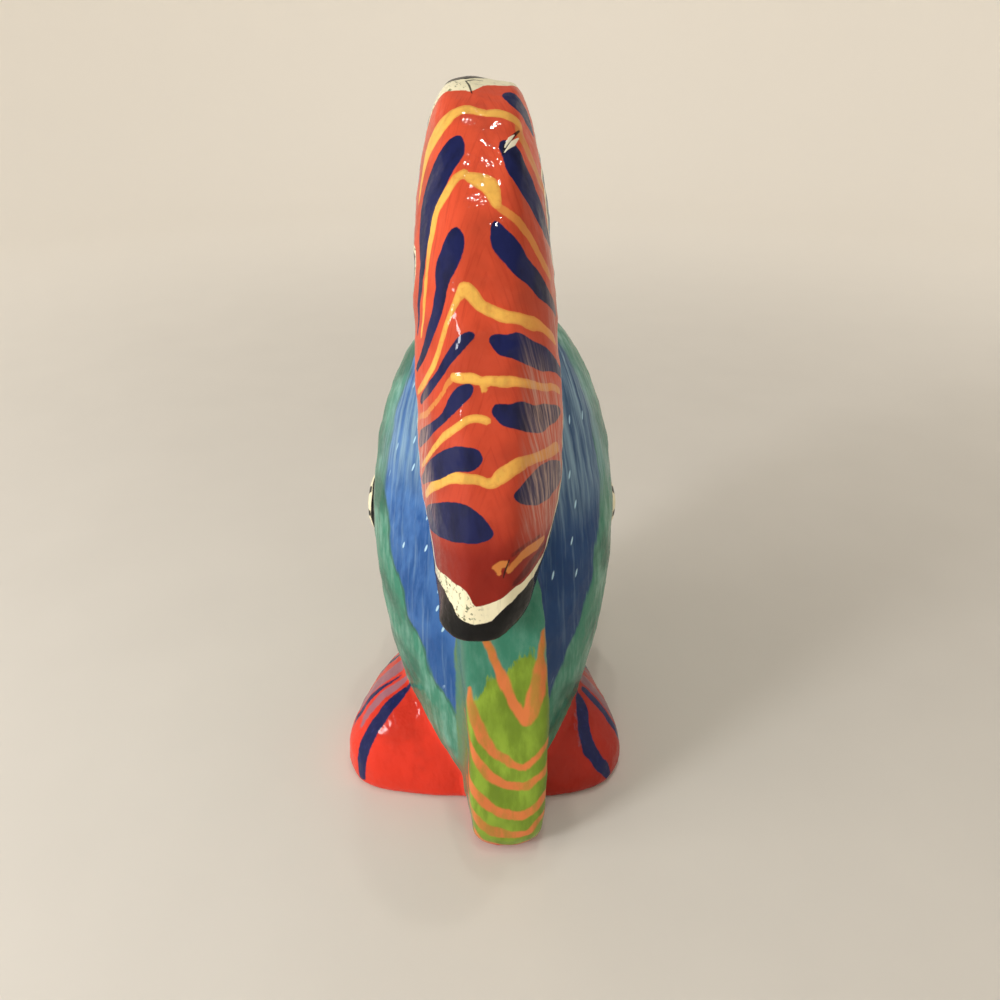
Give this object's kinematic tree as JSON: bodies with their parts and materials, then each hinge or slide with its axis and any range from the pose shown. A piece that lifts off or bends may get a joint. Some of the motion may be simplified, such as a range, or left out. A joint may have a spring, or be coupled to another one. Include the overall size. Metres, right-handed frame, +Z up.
{
  "type": "papier-mache fish sculpture",
  "caption": "Upright papier-mache fish with a deep body, a tall thick dorsal fin, an upright tail and a low dome of pelvic fins it stands on.",
  "frame": {"origin": "middle of the underside of the fish's box, on the surface it stands on", "axes": "+Z up, +Y the way the fish faces, so the tail and the fin's ridge are on the -Y side, +X to the fish's right"},
  "size_m": [0.2004, 0.276, 0.4319],
  "materials": {
    "painted_paper": "hand-painted red, blue, green and yellow under a glossy varnish, with cream and black trim"
  },
  "bodies": {
    "root": {"papier_mache_fish": "painted_paper"}
  },
  "joints": []
}
